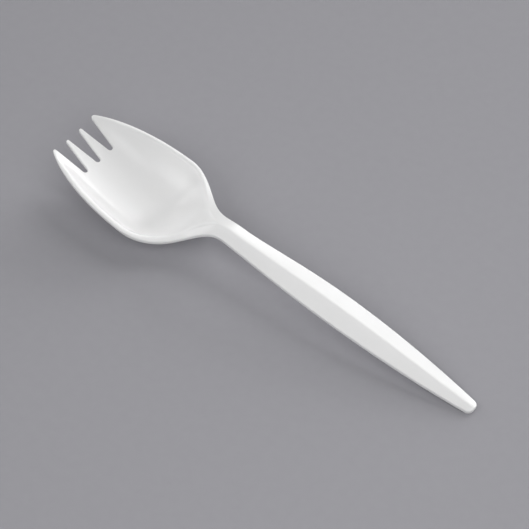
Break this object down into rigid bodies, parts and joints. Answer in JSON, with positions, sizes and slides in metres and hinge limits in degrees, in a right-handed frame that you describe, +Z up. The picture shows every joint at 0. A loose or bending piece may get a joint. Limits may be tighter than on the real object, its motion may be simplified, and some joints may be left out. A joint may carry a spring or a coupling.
{
  "type": "spork",
  "caption": "One-piece moulded plastic spork: a spoon bowl with its front edge cut into tines, a raised neck and a slim handle with a soft ridge.",
  "frame": {"origin": "on the table the spork lies on, under the middle of its length and width", "axes": "+X along the length, from the tines to the handle's end; +Y across the bowl; +Z up, out of the bowl"},
  "size_m": [0.146, 0.0336, 0.0143],
  "materials": {
    "white_plastic": "satin moulded"
  },
  "bodies": {
    "root": {"spork": "white_plastic"}
  },
  "joints": []
}
